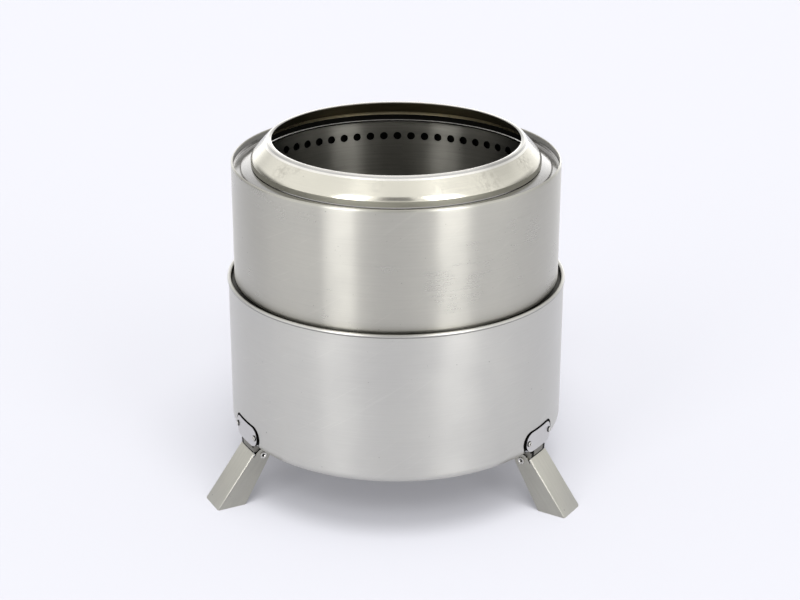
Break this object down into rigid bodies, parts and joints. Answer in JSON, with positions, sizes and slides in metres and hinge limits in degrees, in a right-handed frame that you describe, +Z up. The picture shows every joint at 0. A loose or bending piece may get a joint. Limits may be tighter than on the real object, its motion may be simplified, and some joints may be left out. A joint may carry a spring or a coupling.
{
  "type": "portable fire pit",
  "caption": "Portable round fire pit: a double-walled drum with air jets and a conical flame ring, standing in a round steel base on folding channel legs.",
  "frame": {"origin": "on the drum's axis, at the floor under the feet", "axes": "+Z up along the drum's axis; one leg stands out along +Y, and the picture looks along +Y at the side of the two others"},
  "size_m": [0.3558, 0.3586, 0.3376],
  "materials": {
    "satin_steel": "satin, drawn round the drum",
    "inner_steel": "dull, brushed round the wall",
    "bright_steel": "bright rolled sheet",
    "leg_steel": "pressed sheet, satin"
  },
  "bodies": {
    "base": {"base_shell": "satin_steel", "base_pan": "inner_steel", "seat_ring": "inner_steel", "leg_bracket_1": "satin_steel", "leg_bracket_2": "satin_steel", "leg_bracket_3": "satin_steel", "rivet_1": "bright_steel", "rivet_2": "bright_steel", "rivet_3": "bright_steel", "rivet_4": "bright_steel", "rivet_5": "bright_steel", "rivet_6": "bright_steel", "hinge_pin_1": "bright_steel", "hinge_pin_2": "bright_steel", "hinge_pin_3": "bright_steel"},
    "leg_1": {"leg_1": "leg_steel"},
    "leg_2": {"leg_2": "leg_steel"},
    "leg_3": {"leg_3": "leg_steel"},
    "drum": {"drum_outer_wall": "satin_steel", "drum_inner_wall": "inner_steel", "shoulder_ring": "satin_steel"},
    "flame_ring": {"flame_ring": "bright_steel"},
    "fire_grate": {"fire_grate": "inner_steel"},
    "ash_pan": {"ash_pan": "inner_steel"}
  },
  "joints": [
    {"name": "leg_1_fold", "type": "hinge", "parent": "base", "child": "leg_1", "pos_m": [0, 0.1495, 0.048], "axis": [-1, 0, 0], "range_deg": [0, 120]},
    {"name": "leg_2_fold", "type": "hinge", "parent": "base", "child": "leg_2", "pos_m": [-0.12947, -0.07475, 0.048], "axis": [0.5, -0.866, 0], "range_deg": [0, 120]},
    {"name": "leg_3_fold", "type": "hinge", "parent": "base", "child": "leg_3", "pos_m": [0.12947, -0.07475, 0.048], "axis": [0.5, 0.866, 0], "range_deg": [0, 120]},
    {"name": "drum_lift", "type": "slide", "parent": "base", "child": "drum", "axis": [0, 0, 1], "range_m": [0, 0.08]},
    {"name": "flame_ring_lift", "type": "slide", "parent": "drum", "child": "flame_ring", "axis": [0, 0, 1], "range_m": [0, 0.05]},
    {"name": "fire_grate_lift", "type": "slide", "parent": "drum", "child": "fire_grate", "axis": [0, 0, 1], "range_m": [0, 0.135]},
    {"name": "ash_pan_lift", "type": "slide", "parent": "base", "child": "ash_pan", "axis": [0, 0, 1], "range_m": [0, 0.12]}
  ]
}
